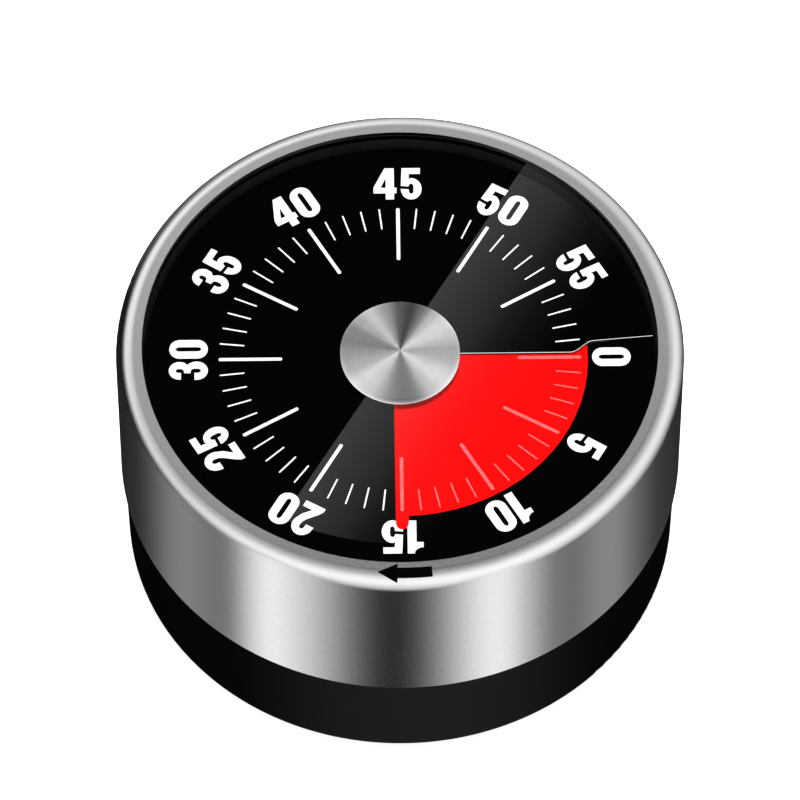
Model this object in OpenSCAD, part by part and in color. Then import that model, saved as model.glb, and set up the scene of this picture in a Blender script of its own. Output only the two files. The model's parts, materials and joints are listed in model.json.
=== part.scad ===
// Round visual countdown timer. A steel sleeve with its lens and hub turns over a fixed
// base, which holds the dial, the spring-driven movement, the bell and the magnets.
// Millimetres. Origin at the centre of the rest face, +Z up through the lens, -Y at the
// 15-minute mark. Minutes run clockwise, seen from above, and start at +X.

/* [Overall] */
// Diameter over the steel sleeve
body_d = 78; // [76:0.5:81]
// Height from the rest face to the top of the rim
body_h = 44; // [43.5:0.5:47]

/* [Sleeve] */
// Sheet thickness of the sleeve
sleeve_wall = 0.6; // [0.5:0.05:0.7]
// Outer rounding of the rim
rim_round = 2.1; // [1.6:0.1:2.4]
// Width of the rim from the outside to the window
rim_width = 3.6; // [3.4:0.1:4]
// Width of the lip rolled in at the foot of the sleeve
sleeve_lip = 0.8; // [0.5:0.1:1]
// Gap between the foot of the sleeve and the shoulder of the base
sleeve_gap = 0.3; // [0.2:0.05:0.6]
// Running gap between the sleeve liner and the spigot of the base
liner_gap = 0.35; // [0.2:0.05:0.5]
// Wall of the sleeve liner beside the spigot
liner_wall = 1.65; // [1.3:0.05:1.8]
// Height of the ledge under the lens, which is the wall seen around the dial
ledge_h = 3.4; // [3:0.1:4]

/* [Lens and hub] */
// Thickness of the lens
lens_t = 0.9; // [0.7:0.1:1]
// Thickness of the gasket between lens and rim
gasket_t = 0.2; // [0.15:0.05:0.3]
// How far the gasket stays back from the window
gasket_inset = 0.3; // [0.1:0.1:0.6]
// Diameter of the hub cap
hub_d = 16.4; // [14:0.2:18]
// Thickness of the hub cap
hub_t = 1; // [0.8:0.05:1.1]
// Bevel round the hub cap
hub_bevel = 0.25; // [0.1:0.05:0.4]

/* [Dial and time disc] */
// Thickness of the dial sheet
dial_t = 0.15; // [0.1:0.01:0.17]
// Thickness of the time disc film
film_t = 0.1; // [0.06:0.01:0.12]
// Rise of the dial and of the film in one turn
turn_rise = 0.5; // [0.45:0.05:0.6]
// Gap between the highest film and the hub cap
hub_gap = 0.4; // [0.2:0.05:0.5]
// Gap between the edge of the dial and the wall around it
dial_gap = 0.4; // [0.3:0.05:0.6]
// Outer radius of the time disc
film_r = 25.8; // [24.5:0.1:26]
// Width of the pointer finger
finger_w = 1.75; // [1.2:0.05:2.2]
// Radius at the tip of the pointer finger
finger_r = 27.9; // [27.5:0.1:29]
// Distance from the slit of the dial to the zero line, inside the bend
slit_offset = 0.45; // [0.4:0.05:0.6]
// Angle from the zero line to the slit outside the bend
slit_angle = 5; // [4.5:0.5:6]
// Radius where the slit starts to bend
slit_bend_r = 23.4; // [23:0.2:24]
// Length of the bend along the radius
slit_bend = 3.2; // [2.6:0.1:3.6]
// Minutes left with the sleeve at rest
rest_minutes = 15; // [15:15:15]
// Width of the crown that carries the rim of the dial
crown_w = 1.6; // [1.2:0.1:2]

/* [Base] */
// Height of the shoulder under the sleeve
shoulder_z = 17.1; // [16.5:0.1:17.5]
// Set-back of the shoulder from the sleeve
shoulder_inset = 0.4; // [0.2:0.1:0.6]
// Draft of the base band, on the radius
base_draft = 0.3; // [0:0.1:0.6]
// Rounding of the rear edge
base_round = 1.2; // [0.8:0.1:1.6]
// Wall of the spigot
spigot_wall = 1.8; // [1.4:0.1:2]
// Inward lip at the top of the spigot
lip_w = 1.2; // [0.8:0.1:1.4]
// Thickness of that lip
lip_t = 0.9; // [0.7:0.1:1.2]
// Gap between the lip and the ledge that turns above it
lip_gap = 0.4; // [0.3:0.05:0.6]
// Thickness of the rear wall
floor_t = 5.5; // [5.2:0.1:6]
// Thickness of the rear cover
cover_t = 1.2; // [1:0.1:1.4]
// Radius of the rear cover
cover_r = 32; // [31:0.2:32.4]
// Wall of the rear cover under a screw head
cover_seat = 0.4; // [0.3:0.05:0.5]
// Distance from the edge of the rear cover to its screws
cover_screw_inset = 3; // [2.6:0.1:3.6]
// Number of sound slots
slot_count = 10; // [8:1:12]
// Width of a sound slot
slot_w = 1.6; // [1.2:0.1:1.8]
// Length of a sound slot
slot_l = 5; // [4:0.2:5.4]
// Radius at the inner end of the sound slots
slot_r = 4.6; // [4.4:0.1:5]

/* [Foot and magnets] */
// How far the rubber ring stands proud of the base
foot_proud = 0.5; // [0.4:0.1:0.8]
// Depth of its groove
foot_depth = 0.9; // [0.7:0.1:1.2]
// Width of the rubber ring
foot_w = 2.6; // [2:0.1:3]
// Radius at the middle of the rubber ring
foot_r = 34.6; // [34.2:0.1:35]
// Diameter of a magnet
magnet_d = 18; // [15:0.5:18.5]
// Thickness of a magnet
magnet_t = 3.2; // [2.5:0.1:3.4]
// Radius of the magnets' circle
magnet_ring_r = 20.5; // [20:0.1:21]
// Number of magnets
magnet_count = 3; // [2:1:3]

/* [Movement plates] */
// Height of the bosses above the rear wall
boss_h = 10.2; // [9.8:0.1:10.6]
// Thickness of a movement plate
plate_t = 1.2; // [1:0.1:1.4]
// Space between the plates
plate_space = 14.3; // [14:0.1:14.8]
// Gap between the back plate and the wall around it
back_plate_gap = 3.2; // [2.6:0.1:3.6]
// Gap between the front plate and the wall around it
front_plate_gap = 4.6; // [4:0.1:5]
// Distance from the edge of the front plate to the middle of a pillar
pillar_inset = 2.5; // [2:0.1:3]
// Diameter of a pillar
pillar_d = 3.5; // [3:0.1:3.8]
// Distance from the wall of the base to the middle of a boss
boss_inset = 5.6; // [5.2:0.1:6]
// Diameter of a boss
boss_d = 4.8; // [4.2:0.1:5]
// Thread diameter of the screws
screw_d = 1.6; // [1.4:0.1:1.8]
// Head diameter of the screws
screw_head_d = 3; // [2.6:0.1:3.2]
// Head height of the screws
screw_head_h = 0.9; // [0.7:0.05:1]

/* [Train] */
// Module of the wheels and pinions
gear_module = 0.4; // [0.38:0.01:0.41]
// Teeth of each wheel
wheel_teeth = 60; // [54:6:60]
// Leaves of each pinion
pinion_teeth = 10; // [10:1:10]
// Profile shift, added to the pinion and taken from the wheel
profile_shift = 0.4; // [0.35:0.05:0.4]
// Play on each side of a tooth
tooth_play = 0.03; // [0.02:0.01:0.05]
// Thickness of a wheel
wheel_t = 0.8; // [0.6:0.1:1]
// Length of a pinion
pinion_l = 2.2; // [1.8:0.1:2.4]
// Width of a wheel's boss around its arbor
wheel_boss = 2.2; // [1.8:0.1:2.6]
// Width of a wheel's rim below the teeth
wheel_rim = 1.25; // [1:0.05:1.6]
// Width of a wheel's spoke
spoke_w = 2; // [1.4:0.1:2.4]
// Height of the escape wheel above the back plate
escape_lift = 3.85; // [3.7:0.05:4]
// Diameter of the train arbors
train_arbor_d = 1.2; // [1:0.1:1.4]
// Radial play of an arbor in its bearing
bearing_gap = 0.05; // [0.02:0.01:0.08]
// Teeth of the escape wheel
escape_teeth = 20; // [15:1:24]
// Tip radius of the escape wheel
escape_r = 5.5; // [5:0.1:5.8]
// Distance from the escape arbor to the pallet arbor
pallet_reach = 9.5; // [9.2:0.1:10]
// Diameter of a pallet pin
pallet_pin_d = 0.5; // [0.4:0.05:0.6]
// Gap between the pallet pins and the escape teeth
pallet_gap = 0.4; // [0.35:0.05:0.6]
// Diameter of the weight behind the pallet arbor
pallet_weight_d = 5.6; // [5:0.1:6]

/* [Main arbor] */
// Diameter of the main arbor
arbor_d = 3; // [2.6:0.1:3.2]
// Length of the main arbor below the back plate
arbor_tail = 1.6; // [1.4:0.1:1.7]
// Distance across the flats at its top
arbor_flats = 2.2; // [2:0.1:2.4]
// Diameter of the clip that holds the arbor
clip_d = 6.3; // [5.4:0.1:6.6]
// Thickness of the clip
clip_t = 0.45; // [0.35:0.05:0.6]
// Drop from the back plate to the underside of the clip
clip_drop = 0.9; // [0.7:0.05:1]
// Wall of the time disc's collar
collar_wall = 1.25; // [1:0.05:1.4]
// Blade thickness of the mainspring
spring_t = 0.3; // [0.2:0.05:0.4]
// Blade width of the mainspring
spring_w = 5; // [4.4:0.1:5.2]
// Outer radius of the mainspring
spring_r = 10.4; // [10:0.1:10.6]
// Turns of the mainspring
spring_turns = 6; // [5:1:7]
// Diameter of the post that holds its outer end
spring_post_d = 2; // [1.6:0.1:2.2]

/* [Strike] */
// Diameter of the bell
bell_d = 40; // [38:0.5:41]
// Height of the bell's dome
bell_rise = 5.6; // [5:0.1:5.8]
// Wall of the bell
bell_wall = 0.8; // [0.6:0.1:1]
// Gap between the bell's mouth and the rear wall
bell_gap = 1.2; // [1:0.1:1.4]
// Radius of the strike cam
cam_r = 6; // [5:0.2:6.4]
// Distance from the edge of the bell to the hammer arbor
hammer_offset = 6; // [5.6:0.1:6.4]
// Distance from the hammer arbor to the middle of the hammer head
hammer_l = 7; // [6.6:0.1:7.4]
// Diameter of the hammer head
hammer_d = 3; // [2.6:0.1:3.2]
// Gap between the hammer head and the bell at rest
hammer_gap = 0.7; // [0.6:0.05:0.9]

/* [Hidden] */
$fn = 96;
// A cut runs this far past the faces it opens
past = 0.5;
// Play where two loose pieces lie face to face
rest_play = 0.1;

// Radii of the sleeve and what turns with it
body_r = body_d / 2;
sleeve_in_r = body_r - sleeve_wall;
rim_flat_r = body_r - rim_round;
window_r = body_r - rim_width;
liner_in_r = sleeve_in_r - liner_wall;
lens_r = rim_flat_r - rest_play;

// Heights from the rim down
rim_under_z = body_h - sleeve_wall;
round_z = body_h - rim_round;
lens_top_z = rim_under_z - gasket_t;
lens_low_z = lens_top_z - lens_t;
hub_low_z = lens_low_z - hub_t;
ledge_low_z = lens_low_z - ledge_h;
sleeve_low_z = shoulder_z + sleeve_gap;
// Height of the middle of the dial sheet at the zero mark
dial_z = hub_low_z - hub_gap - film_t / 2 - turn_rise * 1.5;
film_z = dial_z + turn_rise / 2;

// Radii and heights of the base
spigot_r = liner_in_r - liner_gap;
cavity_r = spigot_r - spigot_wall;
spigot_top_z = ledge_low_z - lip_gap;
rear_z = foot_proud;
floor_z = rear_z + floor_t;
band_r = body_r - shoulder_inset;
rear_r = band_r - base_draft;
dial_r = window_r - dial_gap;
crown_in_r = dial_r - crown_w;
lip_in_r = cavity_r - lip_w;
boss_ring_r = cavity_r - boss_inset;
cover_screw_r = cover_r - cover_screw_inset;
back_plate_r = cavity_r - back_plate_gap;
front_plate_r = cavity_r - front_plate_gap;
pillar_ring_r = front_plate_r - pillar_inset;

// Heights of the movement
back_z = floor_z + boss_h;
train_z = back_z + plate_t;
front_z = train_z + plate_space;
front_top_z = front_z + plate_t;
spring_z = train_z + rest_play * 5;
great_z = spring_z + spring_w + wheel_t * 1.5;
second_z = great_z + wheel_t + pinion_l;
third_z = second_z + wheel_t + pinion_l * 0.8;
escape_z = train_z + escape_lift;
pallet_z = escape_z + wheel_t + rest_play * 7;
cam_z = front_top_z + wheel_t;

// Radii of the train
wheel_pitch_r = gear_module * wheel_teeth / 2;
pinion_pitch_r = gear_module * pinion_teeth / 2;
mesh_distance = wheel_pitch_r + pinion_pitch_r;
train_arbor_r = train_arbor_d / 2;
arbor_r = arbor_d / 2;
collar_r = arbor_r + bearing_gap + collar_wall;
pressure_angle = 20;
addendum = 0.9;
dedendum = 1.25;
// Shares of the flank at which the tooth outline has a point
flank_points = [0, 0.3, 0.65, 1];

// Places of the arbors: each lies one mesh distance from the last, and the reaches give
// the distances of the third and the escape arbor from the middle, in mesh distances
second_angle = 200;
third_reach = 1.214;
escape_reach = 1.43;
third_place_r = mesh_distance * third_reach;
escape_place_r = mesh_distance * escape_reach;
third_angle = second_angle - acos(third_place_r / 2 / mesh_distance);
escape_angle = third_angle
    - acos((pow(third_place_r, 2) + pow(escape_place_r, 2) - pow(mesh_distance, 2))
           / (2 * third_place_r * escape_place_r));
second_at = polar(mesh_distance, second_angle);
third_at = polar(third_place_r, third_angle);
escape_at = polar(escape_place_r, escape_angle);
pallet_turn = -10;
pallet_at = escape_at + polar(pallet_reach, pallet_turn);
pallet_spread = 32;
pillar_angles = [60, 180, 300];
boss_angles = [0, 120, 240];
spring_post_r = spring_post_d / 2;
spring_post_angle = -30;

// Strike work
bell_r = bell_d / 2;
bell_low_z = floor_z + bell_gap;
bell_top_z = bell_low_z + bell_rise;
bell_sphere_r = (pow(bell_r, 2) + pow(bell_rise, 2)) / (2 * bell_rise);
hammer_angle = -30;
hammer_ring_r = bell_r + hammer_offset;
hammer_at = polar(hammer_ring_r, hammer_angle);
lever_boss_r = train_arbor_r * 2.4;
head_r = hammer_d / 2;
head_place_r = bell_r + hammer_gap + head_r;
head_angle = hammer_angle
    + acos((pow(hammer_ring_r, 2) + pow(head_place_r, 2) - pow(hammer_l, 2))
           / (2 * hammer_ring_r * head_place_r));
head_at = polar(head_place_r, head_angle);
cam_gap = 0.8;

// Film and dial grids
sheet_steps = 72;
finger_steps = 8;
dial_hole_r = collar_r + dial_gap;
film_rings = [collar_r / cos(180 / sheet_steps), 5, hub_d / 2, (hub_d / 2 + film_r) / 2, film_r];
dial_rings = [
    dial_hole_r, hub_d / 2, (hub_d / 2 + slit_bend_r) / 2, slit_bend_r, slit_bend_r + slit_bend / 3,
    slit_bend_r + slit_bend * 2 / 3, slit_bend_r + slit_bend, dial_r
];

function polar(r, angle) = [r * cos(angle), r * sin(angle)];
function direction(from, to) = atan2(to[1] - from[1], to[0] - from[0]);
// A point at a radius and a minute of the dial
function on_dial(r, minute) = polar(r, -6 * minute);
// Rise of the dial at a minute
function rise(minute) = turn_rise * minute / 60;
function smooth(x) = x <= 0 ? 0 : x >= 1 ? 1 : x * x * (3 - 2 * x);

// Minutes by which the slit runs ahead of the zero line at a radius
function slit_lead(r) =
    let (inner = asin(slit_offset / r) / 6, outer = slit_angle / 6)
    inner + (outer - inner) * smooth((r - slit_bend_r) / slit_bend);

// A closed sheet whose height follows the minute: grid[i][j] is [radius, minute].
// Its underside is parallel, or flat where flat_z is given.
module spiral_sheet(grid, mid_z, t, flat_z = undef) {
    cols = len(grid);
    rings = len(grid[0]);
    top = [for (col = grid) for (p = col) concat(on_dial(p[0], p[1]), mid_z + rise(p[1]) + t / 2)];
    low = [for (col = grid) for (p = col)
        concat(on_dial(p[0], p[1]), is_undef(flat_z) ? mid_z + rise(p[1]) - t / 2 : flat_z)];
    below = cols * rings;
    last = rings - 1;
    function at(i, j) = i * rings + j;
    sheet = [for (i = [0:cols - 2], j = [0:rings - 2])
        for (f = [[at(i, j), at(i + 1, j), at(i + 1, j + 1)], [at(i, j), at(i + 1, j + 1), at(i, j + 1)]]) f];
    under = [for (f = sheet) [f[2] + below, f[1] + below, f[0] + below]];
    function wall(a, b) = [[b, a, a + below], [b, a + below, b + below]];
    walls = concat(
        [for (i = [0:cols - 2]) each wall(at(i, 0), at(i + 1, 0))],
        [for (i = [0:cols - 2]) each wall(at(i + 1, last), at(i, last))],
        [for (j = [0:rings - 2]) each wall(at(0, j + 1), at(0, j))],
        [for (j = [0:rings - 2]) each wall(at(cols - 1, j), at(cols - 1, j + 1))]);
    polyhedron(concat(top, low), [for (f = concat(sheet, under, walls)) [f[2], f[1], f[0]]]);
}

module tube(r_out, r_in, low, high) {
    translate([0, 0, low]) difference() {
        cylinder(r = r_out, h = high - low);
        translate([0, 0, -past]) cylinder(r = r_in, h = high - low + 2 * past);
    }
}

module rod(r, low, high) {
    translate([0, 0, low]) cylinder(r = r, h = high - low);
}

module ring_of(r, angles) {
    for (a = angles) rotate(a) translate([r, 0, 0]) children();
}

// A cheese-head screw whose head lies on z = 0 and whose slot faces up
module screw(length) {
    difference() {
        union() {
            rod(screw_head_d / 2, 0, screw_head_h);
            rod(screw_d / 2, -length, 0);
        }
        translate([-screw_head_d, -screw_d / 8, screw_head_h / 2]) cube([screw_head_d * 2, screw_d / 4, screw_head_h]);
    }
}

// Half the angle of a tooth at radius r, on the involute of base circle base_r
function tooth_half_angle(r, base_r, half_at_pitch, pitch_r) =
    half_at_pitch + involute_angle(pitch_r, base_r) - involute_angle(r, base_r);
function involute_angle(r, base_r) =
    let (a = acos(min(1, base_r / r))) tan(a) * 180 / PI - a;

// Outline of a spur gear with a tooth on +X
module gear_outline(teeth, shift) {
    pitch_r = gear_module * teeth / 2;
    base_r = pitch_r * cos(pressure_angle);
    tip_r = pitch_r + gear_module * (addendum + shift);
    root_r = pitch_r - gear_module * (dedendum - shift);
    half = 90 / teeth + 2 * shift * tan(pressure_angle) / teeth * 180 / PI - tooth_play / pitch_r * 180 / PI;
    start_r = max(base_r, root_r);
    flank = [for (s = flank_points) let (r = start_r + (tip_r - start_r) * s)
        [r, tooth_half_angle(r, base_r, half, pitch_r)]];
    foot = root_r < start_r ? [[root_r, flank[0][1]]] : [];
    side = concat(foot, flank);
    polygon([for (i = [0:teeth - 1])
        each concat([for (p = side) polar(p[0], i * 360 / teeth - p[1])],
                    [for (k = [len(side) - 1:-1:0]) polar(side[k][0], i * 360 / teeth + side[k][1])])]);
}

// A crossed-out wheel with a tooth turned to the angle of its pinion
module wheel(bore_r, to_angle) {
    rim_in_r = wheel_pitch_r - gear_module * (dedendum + profile_shift) - wheel_rim;
    linear_extrude(wheel_t) rotate(to_angle) difference() {
        gear_outline(wheel_teeth, -profile_shift);
        circle(r = bore_r);
        for (a = [0:90:270]) rotate(a) intersection() {
            difference() {
                circle(r = rim_in_r);
                circle(r = bore_r + wheel_boss);
            }
            translate([spoke_w / 2, spoke_w / 2]) square(rim_in_r);
        }
    }
}

// A pinion on its arbor, with a gap between leaves turned to the angle of its wheel
module pinion(to_angle, low) {
    translate([0, 0, low]) linear_extrude(pinion_l) rotate(to_angle + 180 / pinion_teeth)
        gear_outline(pinion_teeth, profile_shift);
}

// Train arbor from bearing to bearing
module train_arbor() {
    rod(train_arbor_r, back_z + rest_play, front_top_z - rest_play);
}

module steel_sleeve() {
    color("silver") rotate_extrude() difference() {
        union() {
            translate([0, sleeve_low_z]) square([body_r, round_z - sleeve_low_z]);
            translate([0, sleeve_low_z]) square([rim_flat_r, body_h - sleeve_low_z]);
            translate([rim_flat_r, round_z]) circle(r = rim_round);
        }
        translate([0, sleeve_low_z + sleeve_wall]) square([sleeve_in_r, round_z - sleeve_low_z - sleeve_wall]);
        translate([0, sleeve_low_z + sleeve_wall]) square([rim_flat_r, rim_under_z - sleeve_low_z - sleeve_wall]);
        translate([rim_flat_r, round_z]) circle(r = rim_round - sleeve_wall);
        translate([0, sleeve_low_z - past]) square([sleeve_in_r - sleeve_lip, sleeve_wall + 2 * past]);
        square([window_r, body_h + past]);
    }
}

module sleeve_liner() {
    low = sleeve_low_z + sleeve_wall;
    pocket_r = lens_r + rest_play;
    color("#1d1d1f") rotate_extrude() polygon([
        [liner_in_r, low], [sleeve_in_r, low], [sleeve_in_r, round_z],
        [pocket_r, rim_under_z - rest_play], [pocket_r, lens_low_z],
        [window_r, lens_low_z], [window_r, ledge_low_z], [liner_in_r, ledge_low_z]
    ]);
}

module lens_gasket() {
    color("#151515") tube(lens_r, window_r + gasket_inset, lens_top_z, rim_under_z);
}

module lens() {
    color("lightcyan", 0.35) rod(lens_r, lens_low_z, lens_top_z);
}

module hub_cap() {
    hub_r = hub_d / 2;
    color("gainsboro") difference() {
        rotate_extrude() polygon([
            [0, hub_low_z], [hub_r, hub_low_z], [hub_r, lens_low_z - hub_bevel],
            [hub_r - hub_bevel, lens_low_z], [0, lens_low_z]
        ]);
        intersection() {
            rod(arbor_r, hub_low_z - past, hub_low_z + hub_t / 2);
            flats(arbor_flats);
        }
    }
}

// The slab between two flats, the height of the whole part
module flats(across) {
    translate([-arbor_d, -across / 2, 0]) cube([2 * arbor_d, across, body_h]);
}

module main_arbor() {
    color("lightgray") {
        rod(arbor_r, back_z - arbor_tail, cam_z + wheel_t);
        intersection() {
            rod(arbor_r, cam_z + wheel_t, hub_low_z + hub_t / 2);
            flats(arbor_flats);
        }
    }
}

module arbor_clip() {
    clip_z = back_z - clip_drop;
    color("dimgray") difference() {
        tube(clip_d / 2, arbor_r, clip_z, clip_z + clip_t);
        translate([0, -arbor_r / 2, clip_z - past]) cube([clip_d, arbor_r, clip_t + 2 * past]);
    }
}

module clutch_collar() {
    color("goldenrod") tube(arbor_r * 2, arbor_r, great_z - rest_play - wheel_t, great_z - rest_play);
}

// Dished washer that presses the great wheel onto its collar
module clutch_spring() {
    low = great_z + wheel_t + rest_play;
    color("silver") rotate_extrude() polygon([
        [arbor_r, low + wheel_t / 2], [arbor_r * 3, low], [arbor_r * 3, low + wheel_t / 4], [arbor_r, low + wheel_t]
    ]);
}

module strike_cam() {
    color("goldenrod") difference() {
        tube(cam_r, arbor_r, cam_z, cam_z + wheel_t);
        translate(concat(polar(cam_r, hammer_angle + 6 * rest_minutes), cam_z - past))
            cylinder(r = cam_r / 5, h = wheel_t + 2 * past);
    }
}

// The film is one turn of the same spiral as the dial, ending in the pointer finger
module time_disc() {
    side = finger_w / 2;
    // Minutes by which the tail of the film reaches on under its start
    tuck = 0.7;
    last = len(film_rings) - 1;
    function column(minute, offset, edge_r) = [for (j = [0:last])
        let (r = j == last ? edge_r : film_rings[j]) [r, minute + asin(offset / r) / 6]];
    body = [for (i = [0:sheet_steps])
        column(rest_minutes - (60 + tuck) * (1 - i / sheet_steps), -side, film_r)];
    finger = [for (i = [0:finger_steps]) let (x = side * (2 * i / finger_steps - 1))
        column(rest_minutes + 0.001, x, finger_r - side + sqrt(pow(side, 2) - pow(x, 2)))];
    color("#f01822") spiral_sheet(concat(body, finger), film_z, film_t);
}

module disc_collar() {
    low = film_z + rise(rest_minutes - 60) - rest_play;
    high = film_z + rise(rest_minutes) + rest_play;
    color("#f01822") difference() {
        rod(collar_r, low, high);
        intersection() {
            rod(arbor_r + bearing_gap, low - past, high + past);
            flats(arbor_flats + 2 * bearing_gap);
        }
    }
}

module sound_slots(low, high) {
    ring_of(slot_r + slot_w / 2, [for (i = [0:slot_count - 1]) i * 360 / slot_count]) {
        rod(slot_w / 2, low, high);
        translate([0, -slot_w / 2, low]) cube([slot_l - slot_w, slot_w, high - low]);
        translate([slot_l - slot_w, 0, 0]) rod(slot_w / 2, low, high);
    }
}

function magnet_angles() = [for (i = [0:magnet_count - 1]) 30 + i * 360 / magnet_count];
function cover_screw_angles() = [for (a = magnet_angles()) a + 180 / magnet_count];

module base_housing() {
    recess_z = rear_z + cover_t;
    color("#202022") difference() {
        union() {
            rotate_extrude() {
                polygon([[0, rear_z + base_round], [rear_r, rear_z + base_round], [band_r, shoulder_z], [0, shoulder_z]]);
                translate([0, rear_z]) square([rear_r - base_round, base_round]);
                translate([rear_r - base_round, rear_z + base_round]) intersection() {
                    circle(r = base_round);
                    translate([0, -base_round]) square(base_round);
                }
            }
            rod(spigot_r, shoulder_z, spigot_top_z);
        }
        difference() {
            rod(cavity_r, floor_z, spigot_top_z - lip_t);
            ring_of(boss_ring_r, boss_angles) rod(boss_d / 2, floor_z - past, back_z);
            rod(bell_r / 8, floor_z - past, floor_z + bell_gap / 2);
        }
        rod(lip_in_r, floor_z + boss_h, spigot_top_z + past);
        rod(cover_r + rest_play, rear_z - past, recess_z);
        tube(foot_r + foot_w / 2, foot_r - foot_w / 2, rear_z - past, rear_z + foot_depth);
        ring_of(magnet_ring_r, magnet_angles()) rod(magnet_d / 2 + rest_play, recess_z - past, recess_z + magnet_t + rest_play);
        ring_of(boss_ring_r, boss_angles) rod(screw_d / 2, recess_z + magnet_t + rest_play, back_z + past);
        ring_of(cover_screw_r, cover_screw_angles()) rod(screw_d / 2, recess_z - past, recess_z + magnet_t);
        sound_slots(recess_z - past, floor_z + past);
    }
}

module rear_cover() {
    color("#262628") difference() {
        rod(cover_r, rear_z, rear_z + cover_t);
        sound_slots(rear_z - past, rear_z + cover_t + past);
        ring_of(cover_screw_r, cover_screw_angles()) {
            rod(screw_d / 2, rear_z - past, rear_z + cover_t + past);
            rod(screw_head_d / 2, rear_z - past, rear_z + cover_t - cover_seat);
        }
    }
}

module rear_cover_screws() {
    color("silver") ring_of(cover_screw_r, cover_screw_angles())
        translate([0, 0, rear_z + cover_t - cover_seat]) intersection() {
            mirror([0, 0, 1]) screw(magnet_t);
            rod(screw_head_d, cover_seat - cover_t, magnet_t + cover_t);
        }
}

module magnets() {
    color("#3a3a3c") ring_of(magnet_ring_r, magnet_angles())
        rod(magnet_d / 2, rear_z + cover_t, rear_z + cover_t + magnet_t);
}

module foot_ring() {
    color("#151515") tube(foot_r + foot_w / 2, foot_r - foot_w / 2, 0, rear_z + foot_depth);
}

// Moulded ring on the spigot, whose top follows the spiral of the dial
module dial_crown() {
    // Minutes left open between the two ends
    seam = 0.1;
    crown_rings = [crown_in_r, dial_r - rest_play];
    grid = [for (i = [0:sheet_steps]) [for (r = crown_rings) [r, (60 - seam) * i / sheet_steps - slit_lead(r)]]];
    color("#19191b") spiral_sheet(grid, dial_z - dial_t / 2, 0, spigot_top_z);
}

// The dial is one turn of a spiral, so its two ends leave a slit for the film
module dial_plate() {
    grid = [for (i = [0:sheet_steps]) [for (r = dial_rings) [r, 60 * i / sheet_steps - slit_lead(r)]]];
    color("#161618") spiral_sheet(grid, dial_z, dial_t);
}

// Bearing holes of the train, the pallet and the hammer
module bearings(low, high) {
    for (place = [second_at, third_at, escape_at, pallet_at, hammer_at])
        translate(place) rod(train_arbor_r + bearing_gap, low, high);
    rod(arbor_r + bearing_gap, low, high);
}

module back_plate() {
    color("goldenrod") difference() {
        rod(back_plate_r, back_z, train_z);
        bearings(back_z - past, train_z + past);
        ring_of(boss_ring_r, boss_angles) rod(screw_d / 2, back_z - past, train_z + past);
        ring_of(pillar_ring_r, pillar_angles) rod(screw_d / 2, back_z - past, train_z + past);
    }
}

module front_plate() {
    color("goldenrod") difference() {
        rod(front_plate_r, front_z, front_top_z);
        bearings(front_z - past, front_top_z + past);
        ring_of(pillar_ring_r, pillar_angles) rod(screw_d / 2, front_z - past, front_top_z + past);
    }
}

module pillars() {
    color("goldenrod") ring_of(pillar_ring_r, pillar_angles) tube(pillar_d / 2, screw_d / 2, train_z, front_z);
}

module pillar_screws() {
    color("silver") ring_of(pillar_ring_r, pillar_angles) {
        translate([0, 0, front_top_z]) screw(plate_t * 3);
        translate([0, 0, back_z]) mirror([0, 0, 1]) screw(plate_t * 3);
    }
}

module plate_screws() {
    thread_l = plate_t + boss_h - 3;
    color("silver") ring_of(boss_ring_r, boss_angles) translate([0, 0, train_z]) screw(thread_l);
}

// Spiral blade from its inner eye out to the post
module mainspring() {
    inner_r = arbor_r + rest_play * 3;
    step = 15;
    steps = spring_turns * 360 / step;
    function blade_r(i) = inner_r + (spring_r - spring_t - inner_r) * i / steps;
    color("slategray") translate([0, 0, spring_z]) linear_extrude(spring_w) polygon(concat(
        [for (i = [0:steps]) polar(blade_r(i), i * step + spring_post_angle)],
        [for (i = [steps:-1:0]) polar(blade_r(i) + spring_t, i * step + spring_post_angle)]));
}

module spring_post() {
    color("silver") translate(polar(spring_r + spring_post_r, spring_post_angle))
        rod(spring_post_r, train_z, spring_z + spring_w);
}

module bell() {
    color("silver") rotate_extrude() intersection() {
        difference() {
            translate([0, bell_top_z - bell_sphere_r]) circle(r = bell_sphere_r, $fn = 180);
            translate([0, bell_top_z - bell_sphere_r]) circle(r = bell_sphere_r - bell_wall, $fn = 180);
        }
        translate([screw_d / 2, bell_low_z]) square([bell_r, bell_rise + past]);
    }
}

module bell_post() {
    seat_z = bell_top_z - bell_wall - rest_play;
    color("goldenrod") tube(bell_r / 8, screw_d / 2, floor_z + bell_gap / 2, seat_z);
}

module bell_screw() {
    color("silver") translate([0, 0, bell_top_z]) screw(bell_rise);
}

module great_wheel() {
    color("goldenrod") translate([0, 0, great_z]) wheel(arbor_r + bearing_gap, second_angle);
}

module second_wheel() {
    color("goldenrod") translate(concat(second_at, second_z)) wheel(train_arbor_r, direction(second_at, third_at));
}

module second_arbor() {
    color("lightgray") translate(second_at) {
        train_arbor();
        pinion(second_angle + 180, great_z + wheel_t / 2 - pinion_l / 2);
    }
}

module third_wheel() {
    color("goldenrod") translate(concat(third_at, third_z)) wheel(train_arbor_r, direction(third_at, escape_at));
}

module third_arbor() {
    color("lightgray") translate(third_at) {
        train_arbor();
        pinion(direction(third_at, second_at), second_z + wheel_t / 2 - pinion_l / 2);
    }
}

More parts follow.
